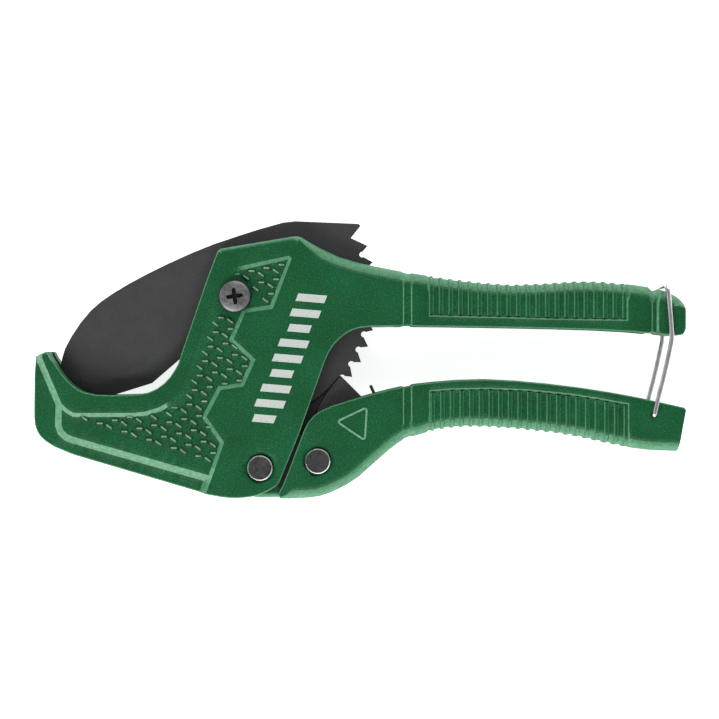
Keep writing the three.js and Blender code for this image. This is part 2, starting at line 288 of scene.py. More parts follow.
def catmull(points, per_span=8):
    """A smooth line through two- or three-dimensional points."""
    p = as_array(points)
    p = np.vstack([2 * p[0] - p[1], p, 2 * p[-1] - p[-2]])
    result = []
    for a, b, c, d in zip(p[:-3], p[1:-2], p[2:-1], p[3:]):
        for i in range(per_span):
            t = i / per_span
            result.append(0.5 * (2 * b + (c - a) * t + (2 * a - 5 * b + 4 * c - d) * t ** 2
                                 + (3 * b - a - 3 * c + d) * t ** 3))
    result.append(p[-2])
    return as_array(result)


def inward_normals(loop):
    """Mitred inward normals of a counter-clockwise loop."""
    before = loop - np.roll(loop, 1, axis=0)
    after = np.roll(loop, -1, axis=0) - loop
    sides = [np.stack([-v[:, 1], v[:, 0]], axis=1) / np.linalg.norm(v, axis=1)[:, None]
             for v in (before, after)]
    middle = sides[0] + sides[1]
    middle /= np.maximum(np.linalg.norm(middle, axis=1), 1e-6)[:, None]
    mitre = np.clip((middle * sides[0]).sum(axis=1), 0.6, 1)
    return middle / mitre[:, None]


def inset(loop, amount):
    """A counter-clockwise loop moved inwards, point for point."""
    return loop + inward_normals(as_array(loop)) * amount


def closed_line(loop):
    """A loop as a line that ends where it starts."""
    return np.vstack([loop, loop[:1]])


# ---------------------------------------------------------------- mesh helpers

def new_object(name, points, faces, material):
    """A mesh from points in millimetres about the mid-plane."""
    mesh = bpy.data.meshes.new(name)
    world = as_array(points)
    world[:, 2] += MID
    mesh.from_pydata((world * MM).tolist(), [], [list(map(int, face)) for face in faces])
    mesh.update()
    obj = bpy.data.objects.new(name, mesh)
    bpy.context.scene.collection.objects.link(obj)
    mesh.materials.append(material)
    return obj


def clean(obj, merge=2e-6):
    """Merges doubled points, in metres, and turns every face outwards."""
    work = bmesh.new()
    work.from_mesh(obj.data)
    bmesh.ops.remove_doubles(work, verts=work.verts, dist=merge)
    bmesh.ops.dissolve_degenerate(work, edges=work.edges, dist=merge)
    bmesh.ops.recalc_face_normals(work, faces=work.faces)
    work.to_mesh(obj.data)
    work.free()


def boolean(obj, other, operation):
    """Applies one boolean and removes the other solid."""
    modifier = obj.modifiers.new("boolean", "BOOLEAN")
    modifier.operation = operation
    modifier.solver = "MANIFOLD"
    modifier.object = other
    result = bpy.data.meshes.new_from_object(obj.evaluated_get(bpy.context.evaluated_depsgraph_get()))
    obj.modifiers.clear()
    obj.data = result
    bpy.data.objects.remove(other)


def cad_copy(node, material):
    """A loose copy of a CAD node with its shared corners merged, used only as a cutting solid."""
    mesh = frame["nodes"][node].data.copy()
    mesh.materials.clear()
    mesh.materials.append(material)
    obj = bpy.data.objects.new(node + "_cutter", mesh)
    bpy.context.scene.collection.objects.link(obj)
    clean(obj)
    return obj


def finish_piece(obj, body, slot, *nodes, sharp=32):
    """Shades a piece and hands it to its body and the CAD nodes that it hides; slot is not used."""
    obj.data.shade_smooth()
    obj.data.set_sharp_from_angle(angle=math.radians(sharp))
    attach(obj, body)
    if nodes:
        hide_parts(*nodes)


def turned(name, centre, profile, material, segments=64):
    """A closed profile of (radius, z) turned about an upright line; it may start and end on the axis."""
    vertices, faces = [], []
    for i in range(segments):
        angle = 2 * math.pi * i / segments
        vertices += [(centre[0] + r * math.cos(angle), centre[1] + r * math.sin(angle), z)
                     for r, z in profile]
    size = len(profile)
    on_axis = profile[0][0] == 0
    for i in range(segments):
        k = (i + 1) % segments
        for j in range(size - 1 if on_axis else size):
            m = (j + 1) % size
            faces.append([i * size + j, i * size + m, k * size + m, k * size + j])
    obj = new_object(name, vertices, faces, material)
    clean(obj, 5e-7)
    return obj


def prism(name, corners, low, high, material):
    """An upright solid on a convex or simple outline."""
    count = len(corners)
    vertices = [(x, y, z) for z in (low, high) for x, y in corners]
    faces = [[i, (i + 1) % count, count + (i + 1) % count, count + i] for i in range(count)]
    faces += [list(range(count - 1, -1, -1)), [count + i for i in range(count)]]
    obj = new_object(name, vertices, faces, material)
    clean(obj)
    return obj


def paint_faces(obj, material, wanted):
    """Gives another material to the faces that pass a test."""
    obj.data.materials.append(material)
    index = len(obj.data.materials) - 1
    for face in obj.data.polygons:
        if wanted(face):
            face.material_index = index


def face_loop(node, z):
    """The counter-clockwise outer boundary of a CAD node's flat faces at one height."""
    mesh = frame["nodes"][node].data
    level = (z + MID) * MM
    corner = [tuple(round(c / MM, 3) for c in vertex.co[:2]) for vertex in mesh.vertices]
    on = [abs(vertex.co.z - level) < 2e-6 for vertex in mesh.vertices]
    halves = set()
    for face in mesh.polygons:
        if all(on[i] for i in face.vertices) and face.normal.z > 0.9:
            ring = [corner[i] for i in face.vertices]
            halves |= set(zip(ring, ring[1:] + ring[:1]))
    border = dict((a, b) for a, b in halves if (b, a) not in halves)
    loops = []
    while border:
        start = next(iter(border))
        loop, at = [], start
        while at in border:
            loop.append(at)
            at = border.pop(at)
        loops.append(loop)
    return as_array(max(loops, key=lambda loop: np.ptp(as_array(loop)[:, 0])))


# ---------------------------------------------------------------- relief solids

RIM_STEPS = 9  # spans of the rounded rim
CREASE_STEP = 1.2
CREASE_CLEAR = 0.25  # how near a crease's point may come to the rim
FILL_CLEAR = 0.8  # and how near the face's other points may


def relief_solid(name, loop, top, edge, height, sink, creases, material, grid=3.0):
    """A closed solid, alike on both faces, from an outline and a height for every point of the face.

    edge gives each outline point's rounding as (reach over the face, drop down the side);
    sink moves the rounded rim inwards; creases are lines that the face's triangles follow.
    """
    count = len(loop)
    normal = inward_normals(loop)
    reach, drop = edge(loop, normal)
    start = loop + normal * SKIN
    face_ring = start + normal * reach[:, None]
    ring_top = top + height(face_ring) - SKIN
    sunk = sink(loop, normal)
    rings = []
    for step in range(RIM_STEPS + 1):
        angle = math.pi / 2 * step / RIM_STEPS
        inwards = reach * (1 - math.sin(angle)) + sunk * math.sin(angle)
        plane = start + normal * inwards[:, None]
        rings.append(np.column_stack([plane, ring_top - drop * (1 - math.cos(angle))]))

    border = rings[0][:, :2]
    points = [tuple(p) for p in border]
    edges = [(i, (i + 1) % count) for i in range(count)]
    for line in creases:
        line = resample(line, CREASE_STEP, closed=False)
        kept = inside(line, border) & (line_distance(line, border) > CREASE_CLEAR)
        for i, point in enumerate(line):
            if kept[i]:
                points.append(tuple(point))
                if i and kept[i - 1]:
                    edges.append((len(points) - 2, len(points) - 1))
    xs = np.arange(border[:, 0].min(), border[:, 0].max(), grid)
    ys = np.arange(border[:, 1].min(), border[:, 1].max(), grid)
    fill = np.array([(x, y + 0.5 * grid * (i % 2)) for i, x in enumerate(xs) for y in ys])
    fill = fill[inside(fill, border) & (line_distance(fill, border) > FILL_CLEAR)]
    points += [tuple(p) for p in fill]
    flat, _, triangles, _, _, _ = delaunay_2d_cdt([Vector(p) for p in points], edges, [], 1, 1e-5)
    flat = as_array([tuple(p) for p in flat])
    face = np.column_stack([flat, top - SKIN + height(flat)])

    vertices, faces = [], []
    for side in (1, -1):
        base = len(vertices)
        mirror = np.array([1, 1, side])
        vertices += list(face * mirror)
        faces += [[base + i for i in tri][::side] for tri in triangles]
        first = len(vertices)
        for ring in rings:
            vertices += list(ring * mirror)
        for step in range(RIM_STEPS):
            for i in range(count):
                k = (i + 1) % count
                quad = [first + step * count + i, first + (step + 1) * count + i,
                        first + (step + 1) * count + k, first + step * count + k]
                faces.append(quad[::side])
        if side == 1:
            near_edge = first + RIM_STEPS * count
    far_edge = first + RIM_STEPS * count
    for i in range(count):
        k = (i + 1) % count
        faces.append([near_edge + i, far_edge + i, far_edge + k, near_edge + k])
    obj = new_object(name, vertices, faces, material)
    clean(obj, 1e-6)
    return obj


def even(value):
    """The same small rounding all the way round."""
    return lambda loop, normal: (np.full(len(loop), value), np.full(len(loop), value))


def no_sink(loop, normal):
    """A rim that keeps to the outline."""
    return np.zeros(len(loop))


def level_face(points):
    """A face without relief."""
    return np.zeros(len(points))


# ---------------------------------------------------------------- castings

POCKET_DEPTH, POCKET_BEVEL = 0.8, 1.2
GENTLE_BEVEL = 3.2  # on the pocket's side below the screw
STRIP_DEPTH, STRIP_BEVEL = 1.3, 2.1
PANEL_DEPTH, PANEL_BEVEL = 0.7, 0.45
PANEL_SINK = 0.35  # the panel's depth on the handle's rounded back
PANEL = (20.5, 79.4)  # the grip's recess along x
LOWER_PANEL_END = PANEL[1] + 0.3
BAND, BAND_DEPTH, BAND_BEVEL = (12.8, 15.6), 0.35, 0.4
GROOVE, GROOVE_DEPTH, GROOVE_BEVEL = (86.3, 88.5), 0.9, 0.6
ROUND_REACH, ROUND_DROP = 4.0, 5.0  # the rounding of the handles' backs, over the face and down the side
EDGE = 0.55  # the rounding of the castings' other edges
OUTLINE_STEP = 0.9

# Everything below and behind the throat's rim is one step down, up to the plate's zigzag border.
POCKET = as_array([
    (-37, 27.2), (-44, 15), (-52, -8), (-55.6, -12), (-59.1, -14.1), (-63.3, -15.4), (-66.6, -15.8),
    (-84.4, -15.8), (-86.3, -14.7), (-88, -13.1), (-94.2, 1.5), (-96.5, 6.8), (-120, 6.8), (-120, -60),
    (-45.4, -60), (-45.4, -39.6), (-43.5, -34.6), (-40, -24.5), (-45.2, -17), (-41, -9), (-34.3, -8),
    (-30.7, 0), (-37.2, 6), (-33.7, 13.8), (-25.6, 15), (-19.6, 30.9),
])
POCKET_SIDE = POCKET[:4]
THROAT_BORDER = POCKET[4:12]
# The jaw's outer strip is a second step down.
STRIP = as_array([
    (-120, 6.8), (-120, -60), (-45.4, -60), (-45.4, -39.6), (-43.5, -34.6), (-84.9, -22.8), (-86.5, -22.1),
    (-87.7, -20.9), (-88.2, -19.3), (-88, -13.1), (-94.2, 1.5), (-96.5, 6.8),
])
JAW_BORDER = STRIP[4:10]
UPPER_PANEL = as_array([
    (PANEL[0], 12.7), (35, 12.3), (45, 12.1), (57, 11.7), (PANEL[1], 11.4), (PANEL[1], 45), (PANEL[0], 45),
])
LOWER_PANEL = as_array([
    (PANEL[0], -9.1), (PANEL[0], -45), (LOWER_PANEL_END, -45), (LOWER_PANEL_END, -13), (70, -11.2),
    (62, -10), (50, -8.8), (38, -8.3), (27, -8.5),
])
UPPER_BORDER = UPPER_PANEL[:5]
LOWER_BORDER = LOWER_PANEL[[0, 8, 7, 6, 5, 4, 3]]


def across(x, span, depth, bevel):
    """Depth of a straight groove across the handle."""
    middle, half = (span[0] + span[1]) / 2, (span[1] - span[0]) / 2
    return depth * slope(half - np.abs(x - middle), bevel)


def grooves(x):
    """The shallow band before the grip and the groove after it."""
    return across(x, BAND, BAND_DEPTH, BAND_BEVEL) + across(x, GROOVE, GROOVE_DEPTH, GROOVE_BEVEL)


def groove_creases(low_y, high_y):
    return [[(x, low_y), (x, high_y)]
            for (start, end), bevel in ((BAND, BAND_BEVEL), (GROOVE, GROOVE_BEVEL))
            for x in (start, start + bevel, end - bevel, end)]


def body_height(points):
    x = points[:, 0]
    gentle = slope(line_distance(points, POCKET_SIDE, closed=False), GENTLE_BEVEL)
    pocket = POCKET_DEPTH * np.minimum(slope(depth_in(points, POCKET), POCKET_BEVEL), gentle)
    strip = STRIP_DEPTH * slope(depth_in(points, STRIP), STRIP_BEVEL)
    panel = PANEL_DEPTH * slope(depth_in(points, UPPER_PANEL), PANEL_BEVEL)
    return -(pocket + strip + panel + grooves(x) * (x > 8))


def body_edge(loop, normal):
    """A full rounding on the upper handle's back, a lesser one on the plate's top and small ones elsewhere."""
    x, y = loop.T
    back = slope(-normal[:, 1] - 0.1, 0.5) * slope(x + 20, 10) * (y > 12)
    plate_top = slope(-normal[:, 1] - 0.4, 0.3) * (x > -42) * (x < -18) * (y > 25)
    reach = EDGE + (ROUND_REACH - EDGE) * back + 1.3 * plate_top
    drop = EDGE + (ROUND_DROP - EDGE) * back + 0.6 * plate_top
    return reach, drop


def body_sink(loop, normal):
    """The grip's recess and the grooves run on round the handle's back."""
    x, y = loop.T
    top = slope(-normal[:, 1] - 0.5, 0.2) * (y > 15)
    return top * PANEL_SINK * ((x > PANEL[0]) & (x < PANEL[1])) + grooves(x) * (x > 8)


def handle_height(points):
    x = points[:, 0]
    panel = PANEL_DEPTH * slope(depth_in(points, LOWER_PANEL), PANEL_BEVEL)
    return -(panel + grooves(x) * (x < 20))


def handle_edge(loop, normal):
    """A full rounding on the lower handle's back that fades out at both of its ends."""
    x = loop[:, 0]
    back = slope(normal[:, 1] - 0.1, 0.5) * slope(x + 23.4, 4) * slope(101 - x, 3)
    return EDGE + (ROUND_REACH - EDGE) * back, EDGE + (ROUND_DROP - EDGE) * back


def handle_sink(loop, normal):
    x = loop[:, 0]
    bottom = slope(normal[:, 1] - 0.5, 0.2)
    return bottom * PANEL_SINK * ((x > PANEL[0]) & (x < LOWER_PANEL_END)) + grooves(x) * (x < 20)


def highlit_bevel(face):
    """Whether a face lies on the sloping borders of the jaw's two steps, which are given the painted
    highlight.
    """
    place = [face.center.xy / MM]
    return 0.6 < abs(face.normal.z) < 0.97 and any(
        line_distance(place, line, closed=False)[0] < STRIP_BEVEL + 0.1
        for line in (JAW_BORDER, THROAT_BORDER))


def body_casting():
    loop = resample(face_loop("body_casting", HALF), OUTLINE_STEP)
    creases = [
        closed_line(POCKET), closed_line(inset(POCKET, POCKET_BEVEL)),
        inset(POCKET, GENTLE_BEVEL)[:len(POCKET_SIDE)],
        closed_line(STRIP), closed_line(inset(STRIP, STRIP_BEVEL)),
        closed_line(UPPER_PANEL), closed_line(inset(UPPER_PANEL, PANEL_BEVEL)),
        *groove_creases(5, 40),
    ]
    obj = relief_solid("body_casting_visual", loop, HALF, body_edge, body_height, body_sink, creases, GREEN)
    boolean(obj, cad_copy("body_casting", GREEN), "INTERSECT")
    # painted highlight on the sloping borders of the jaw's steps
    paint_faces(obj, PAINTED_HIGHLIGHT_GREEN, highlit_bevel)
    finish_piece(obj, "body", "green_paint", "body_casting", sharp=14)


TONGUE_HALF = 5
TONGUE_R = 9.1


def heel_edge(loop, normal):
    """The tongue's end is rounded, up to where it meets the handle's walls."""
    round_part = 0.2 + 1.7 * slope(-21.5 - loop[:, 0], 3)
    return round_part, round_part


def gap_shadow_face(face):
    """Whether a face lies on the tongue's flat sides, between the body's walls, where it is painted near-black
    as shadow in the gap.
    """
    x, y, z = face.center / MM
    return abs(face.normal.z) > 0.9 and x < -9 and y > -38 and abs(z - MID) < TONGUE_HALF + 0.1


def lower_handle():
    """The grip is drawn past its end and trimmed there, so that its rounded back runs out square."""
    outline = face_loop("lower_handle", HALF)
    beyond = as_array([(104, -27.7), (104, -15.9)])
    kept = outline[outline[:, 0] < 93.5]
    end = int(np.argmax(np.linalg.norm(kept - np.roll(kept, -1, axis=0), axis=1)))
    loop = resample(np.vstack([np.roll(kept, -end - 1, axis=0), beyond]), OUTLINE_STEP)
    creases = [
        closed_line(LOWER_PANEL), closed_line(inset(LOWER_PANEL, PANEL_BEVEL)),
        *groove_creases(-40, 0),
    ]
    obj = relief_solid(
        "lower_handle_visual", loop, HALF, handle_edge, handle_height, handle_sink, creases, GREEN)
    boolean(obj, cad_copy("lower_handle", GREEN), "INTERSECT")
    heel = [polar(HANDLE_PIN, TONGUE_R, angle) for angle in range(75, 266, 5)]
    heel = resample(as_array(heel + [(-20, -41), (-11, -38), (-11, -22)]), OUTLINE_STEP)
    tongue = relief_solid("tongue", heel, TONGUE_HALF, heel_edge, level_face, no_sink, [], GREEN)
    boolean(tongue, cad_copy("lower_handle", GREEN), "INTERSECT")
    boolean(obj, tongue, "UNION")
    # painted shadow: the tongue's flat sides in the gap go near-black
    paint_faces(obj, PAINTED_SHADE_BLACK, gap_shadow_face)
    finish_piece(obj, "lower_handle", "green_paint", "lower_handle", sharp=14)


# ---------------------------------------------------------------- ribs, texture and markings on the castings

RIBS = 21
RIB_PITCH = 2.855
RIB_FOOT = (0.72, 0.78)  # half-width, and depth under the casting's outline
RIB_TOP = (0.4, 0.06)
RIB_GAP = 0.75  # from the recess's border to the first point of a rib


def crossing(loop, x, upper):
    """Where an outline meets the upright line at x, on its upper or lower side."""
    hits = [a[1] + (b[1] - a[1]) * (x - a[0]) / (b[0] - a[0])
            for a, b in zip(loop, np.roll(loop, -1, axis=0)) if (a[0] > x) != (b[0] > x)]
    return max(hits) if upper else min(hits)


def rib_section(border_y, outer_y, outwards):
    """Points and outward directions round the handle's back, from the near face to the far face."""
    flat_end = outer_y - outwards * ROUND_REACH
    points, directions = [], []
    for share in (0, 0.5):
        points.append((border_y + (flat_end - border_y) * share, HALF))
        directions.append((0, 1))
    steps = 8
    for step in range(steps + 1):
        angle = math.pi / 2 * step / steps
        y = flat_end + outwards * ROUND_REACH * math.sin(angle)
        points.append((y, HALF - ROUND_DROP * (1 - math.cos(angle))))
        directions.append((outwards * math.sin(angle), math.cos(angle)))
    mirrored = [(y, -z) for y, z in reversed(points)]
    facing = [(y, -z) for y, z in reversed(directions)]
    return points + mirrored, directions + facing


def rib_set(name, node, first, border, upper, body_name):
    """Cross ribs standing in the grip's recess and wrapping round the handle's back."""
    loop = face_loop(node, HALF)
    outwards = 1 if upper else -1
    vertices, faces = [], []
    for k in range(RIBS):
        x = first + k * RIB_PITCH - RIB_FOOT[0]
        base = np.interp(x, border[:, 0], border[:, 1]) + outwards * RIB_GAP
        points, directions = rib_section(base, crossing(loop, x, upper), outwards)
        start = len(vertices)
        last = len(points) - 1
        for i, ((y, z), (dy, dz)) in enumerate(zip(points, directions)):
            top_depth = RIB_TOP[1] + (0.12 if i in (0, last) else 0)
            for side, half_width, depth in (
                    (-1, *RIB_FOOT), (-1, RIB_TOP[0], top_depth), (1, RIB_TOP[0], top_depth), (1, *RIB_FOOT)):
                vertices.append((x + side * half_width, y - dy * depth, z - dz * depth))
        for i in range(last):
            for j in range(4):
                m = (j + 1) % 4
                ring = start + 4 * i
                faces.append([ring + j, ring + m, ring + 4 + m, ring + 4 + j])
        faces.append([start, start + 1, start + 2, start + 3])
        faces.append([start + 4 * last + j for j in (3, 2, 1, 0)])
    obj = new_object(name, vertices, faces, GREEN)
    clean(obj)
    finish_piece(obj, body_name, "green_paint", sharp=28)


POCKET_FLOOR = HALF - POCKET_DEPTH
TICK_RINGS = ((0.5, 0.95, -0.06), (0.05, 0.25, 0.24), (-0.05, 0.1, 0.5))  # extra length, half-width, rise
MOUND_RISE = 0.12  # faces with their middle below this are the mound's
TICK_CLEAR = 1.0
SCREW_CLEAR = 6.2


def tick(centre, angle, length, side):
    """One raised stroke on a low mound, as three rings of six points, on the near (1) or far (-1) side."""
    along = np.array([math.cos(angle), math.sin(angle)])
    over = np.array([-along[1], along[0]])
    vertices = []
    for extra, half_width, rise in TICK_RINGS:
        half_length = length / 2 + extra
        for u, v in ((1, 0), (0.75, 1), (-0.75, 1), (-1, 0), (-0.75, -1), (0.75, -1)):
            flat = centre + along * half_length * u + over * half_width * v
            vertices.append((flat[0], flat[1], (POCKET_FLOOR + rise) * side))
    return vertices


def takes_tick(centre):
    """Whether a tick fits on the pocket's floor, outside its plain lower band and clear of the screw."""
    x, y = centre
    clear = min(depth_in([centre], POCKET)[0], -depth_in([centre], STRIP)[0])
    plain_band = x < -43 and y < -17.6 - 0.336 * (x + 84.4)
    return clear >= TICK_CLEAR and not plain_band and np.linalg.norm(centre - SCREW) >= SCREW_CLEAR


def tick_texture():
    """Diagonal strokes in leaning rows on the pocket's floor, each with a short level one below it, the
    strokes in the painted highlight green and their low mounds in painted shadow.
    """
    origin, along_row, down_row = as_array([(-38.25, 11.43), (4.42, 0.93), (-1.55, -4.28)])
    below = np.array([0.12, -2.38])
    vertices, faces = [], []
    for row in range(-6, 14):
        for column in range(-14, 8):
            diagonal = origin + column * along_row + row * down_row
            for centre, angle, length in ((diagonal, -0.63, 2.25), (diagonal + below, -0.03, 1.85)):
                if not takes_tick(centre):
                    continue
                for side in (1, -1):
                    start = len(vertices)
                    vertices += tick(centre, angle, length, side)
                    faces.append([start + 12 + i for i in range(6)][::side])
                    faces.append([start + i for i in range(5, -1, -1)][::side])
                    faces += [[ring + i, ring + (i + 1) % 6, ring + 6 + (i + 1) % 6, ring + 6 + i][::side]
                              for ring in (start, start + 6) for i in range(6)]
    obj = new_object("pocket_texture", vertices, faces, PAINTED_HIGHLIGHT_GREEN)
    # painted shadow on the low mound round each stroke
    paint_faces(obj, PAINTED_SHADOW_GREEN, lambda face: abs(face.center.z / MM - MID) < POCKET_FLOOR + MOUND_RISE)
    finish_piece(obj, "body", "green_paint", sharp=25)


def sweep(path, section):
    """Vertices and faces of a section of (inwards, height) pairs carried along a closed flat path."""
    normal = inward_normals(path)
    rings = [path + normal * inwards for inwards, _ in section]
    count, size = len(path), len(section)
    vertices = [(ring[i][0], ring[i][1], up) for i in range(count) for ring, (_, up) in zip(rings, section)]
    faces = [[i * size + j, i * size + (j + 1) % size, ((i + 1) % count) * size + (j + 1) % size,
              ((i + 1) % count) * size + j] for i in range(count) for j in range(size)]
    return vertices, faces


MARK_CORNER = 1.3  # where the corner's curve starts
MARK_HALF = 0.3


def raised_triangle():
    """A plain raised outline on the lower handle's near wall, left empty."""
    corners = as_array([(-6.7, -18.3), (1.6, -23.9), (2.2, -14.1)])
    path = []
    for before, at, after in zip(np.roll(corners, 1, axis=0), corners, np.roll(corners, -1, axis=0)):
        a = at + (before - at) / np.linalg.norm(before - at) * MARK_CORNER
        b = at + (after - at) / np.linalg.norm(after - at) * MARK_CORNER
        path += [(1 - t) ** 2 * a + 2 * t * (1 - t) * at + t * t * b for t in (0, 0.25, 0.5, 0.75, 1)]
    foot, shoulder, top = HALF - 0.2, HALF - SKIN + 0.16, HALF - SKIN + 0.28
    half = MARK_HALF
    section = [(half, foot), (half, shoulder), (half / 2, top),
               (-half / 2, top), (-half, shoulder), (-half, foot)]
    # coloured with the lighter painted highlight green
    obj = new_object("handle_mark", *sweep(as_array(path), section), PAINTED_HIGHLIGHT_GREEN)
    clean(obj)
    finish_piece(obj, "lower_handle", "green_paint", sharp=28)


BARS = 9
BAR_HALF_WIDTH = 1.2
BAR_SLANT = 0.3


def printed_bars():
    """Plain slanted bars printed along the plate."""
    start, end = as_array([(-28.6, -18.6), (-13.8, 19.2)])
    length = np.linalg.norm(end - start)
    along = (end - start) / length
    over = np.array([along[1], -along[0]])
    pitch = length / (BARS - 0.5)
    vertices, faces = [], []
    for k in range(BARS):
        reach = 4.1 if k % 3 else 3.1
        middle = start + along * pitch * (k + 0.25)
        corners = [middle + along * (u * BAR_HALF_WIDTH + v * reach * BAR_SLANT) + over * v * reach
                   for u, v in ((-1, -1), (1, -1), (1, 1), (-1, 1))]
        first = len(vertices)
        for z in (HALF - 0.08, HALF + 0.02):
            vertices += [(p[0], p[1], z) for p in corners]
        faces += [[first + i for i in (4, 5, 6, 7)], [first + i for i in (3, 2, 1, 0)]]
        faces += [[first + i, first + (i + 1) % 4, first + 4 + (i + 1) % 4, first + 4 + i] for i in range(4)]
    obj = new_object("plate_print", vertices, faces, INK)
    clean(obj)
    finish_piece(obj, "body", "green_paint")


# ---------------------------------------------------------------- blade and its pivot

BLADE_HALF = half_thickness("blade")
GRIND = 5.2  # width of the ground edge
EDGE_HALF = 0.12  # half the blade's thickness at its edge
CUTTING_EDGE = as_array([
    (-47, 5.4), (-53.9, 0), (-62.1, -7.1), (-72, -10.2), (-79, -12.4), (-84.6, -11.2), (-88, -7.6),
    (-89.4, -4.4),
])
GRIND_START = CUTTING_EDGE + as_array([
    (-2.5, 4.4), (-2.6, 4.4), (-1.5, 5), (-0.4, 5.2), (0.6, 5.1), (2.3, 4.6), (4.6, 2.3), (5, 0.6),
])
BLADE_CHAMFER = 0.34
TEETH, TOOTH_PITCH = 9, 7
GULLET_R = 0.9


def blade_height(points):
    ground = slope(GRIND - line_distance(points, CUTTING_EDGE, closed=False), GRIND)
    return -(BLADE_HALF - EDGE_HALF) * ground


def blade_edge(loop, normal):
    """A small rounding, shallower where the ground edge is thin."""
    half_here = BLADE_HALF + blade_height(loop + normal * BLADE_CHAMFER)
    return np.full(len(loop), BLADE_CHAMFER), np.minimum(BLADE_CHAMFER, 0.5 * half_here)


def blade():
    """The coated plate, its edges and gullets painted near-black as shade, with a round drilled at the bottom
    of each gullet.
    """
    loop = resample(face_loop("blade", BLADE_HALF), 0.8)
    obj = relief_solid("blade_visual", loop, BLADE_HALF, blade_edge, blade_height, no_sink, [GRIND_START],
                       BLADE_COAT_AND_SHADE, grid=2.0)
    boolean(obj, cad_copy("blade", BLADE_COAT_AND_SHADE), "INTERSECT")
    drill = [(0, -3), (GULLET_R, -3), (GULLET_R, 3), (0, 3)]
    for tooth in range(TEETH):
        gullet = polar(SCREW, 39.75, 18.75 - TOOTH_PITCH * tooth)
        boolean(obj, turned("gullet", gullet, drill, PAINTED_SHADE_BLACK, 20), "DIFFERENCE")
    # painted shade: the rim's faces and the gullets' walls go near-black
    paint_faces(obj, PAINTED_SHADE_BLACK, lambda face: abs(face.normal.z) < 0.93)
    finish_piece(obj, "blade", "coated_blade", "blade", sharp=10)


RECESS_TURN, RECESS_DEPTH = 8, 1.5


def cross_recess(centre, turn, top, depth):
    """A tapered cross that is cut into a screw's head."""
    blunt_bar = ((1, 0.7), (0.6, 1), (-0.6, 1), (-1, 0.7), (-1, -0.7), (-0.6, -1), (0.6, -1), (1, -0.7))
    arms = []
    for angle in (turn, turn + 90):
        along = as_array(polar((0, 0), 1, angle))
        over = np.array([-along[1], along[0]])
        vertices = []
        for z, reach, half in ((top - depth, 1.7, 0.46), (top + 0.5, 2.75, 0.66)):
            vertices += [tuple(centre + along * reach * u + over * half * v) + (z,) for u, v in blunt_bar]
        faces = [[i, (i + 1) % 8, 8 + (i + 1) % 8, 8 + i] for i in range(8)]
        faces += [list(range(7, -1, -1)), list(range(8, 16))]
        arm = new_object("recess", vertices, faces, SCREW_STEEL)
        clean(arm)
        arms.append(arm)
    boolean(arms[0], arms[1], "UNION")
    return arms[0]


HEAD_R = 4.82
SHANK_R = 2.5


def blade_screw():
    """A low domed head with a cross recess; its rim and its recess are painted near-black as shade."""
    seat = POCKET_FLOOR + 0.05
    end, top = (corner[2] for corner in node_span("blade_screw"))
    profile = [(0, end), (SHANK_R - 0.4, end), (SHANK_R, end + 0.4), (SHANK_R, seat), (HEAD_R - 0.25, seat),
               (HEAD_R, seat + 0.25), (HEAD_R, top - 1.15), (HEAD_R - 0.08, top - 0.85),
               (HEAD_R - 0.34, top - 0.6), (HEAD_R - 0.7, top - 0.42), (3.4, top - 0.24), (2.2, top - 0.08),
               (0, top)]
    obj = turned("blade_screw_visual", SCREW, profile, SCREW_STEEL)
    boolean(obj, cross_recess(SCREW, RECESS_TURN, top, RECESS_DEPTH), "DIFFERENCE")

    # painted shade on the head's rim and in its recess
    def dark(face):
        from_axis = math.dist(face.center.xy / MM, SCREW)
        z = face.center.z / MM - MID
        in_recess = from_axis < 2.6 and z > seat and (face.normal.z < 0.9 or z < top - 0.6)
        return in_recess or from_axis > HEAD_R - 0.36

    paint_faces(obj, PAINTED_SHADE_BLACK, dark)
    finish_piece(obj, "body", "plain_steel", "blade_screw", sharp=30)


PIN_CHAMFER = 0.32


def headed_pin(name, centre, shank_r, node, body_name):
    """A dark pin whose flat head has a bright chamfer."""
    (left, _, bottom), (right, _, top) = node_span(node)
    head_r = (right - left) / 2 - 0.02
    seat = HALF + 0.02
    profile = [(0, bottom), (shank_r - 0.5, bottom), (shank_r, bottom + 0.5), (shank_r, seat), (head_r, seat),
               (head_r, top - 0.36), (head_r - PIN_CHAMFER, top - 0.02), (head_r - 0.42, top - 0.12),
               (1.2, top - 0.14), (0, top - 0.15)]
    obj = turned(name, centre, profile, PIN_FACE)
    paint_faces(obj, BRIGHT, lambda face: math.dist(face.center.xy / MM, centre) > head_r - PIN_CHAMFER - 0.04
                and face.center.z / MM - MID > top - 0.3)
    finish_piece(obj, body_name, "dark_steel", node, sharp=28)


def push_washer(name, node, centre, bore, body_name):
    """A domed push-on washer over a pin's end, on the far side."""
    (left, _, top), (right, _, seat) = node_span(node)
    outer = (right - left) / 2
    profile = [(bore, seat - 0.45), (bore, top + 0.05), (bore + 0.5, top), (outer - 0.6, seat - 0.42),
               (outer, seat - 0.36), (outer, seat), (outer - 0.6, seat - 0.02)]
    obj = turned(name, centre, profile, PIN_FACE)
    finish_piece(obj, body_name, "dark_steel", node, sharp=30)


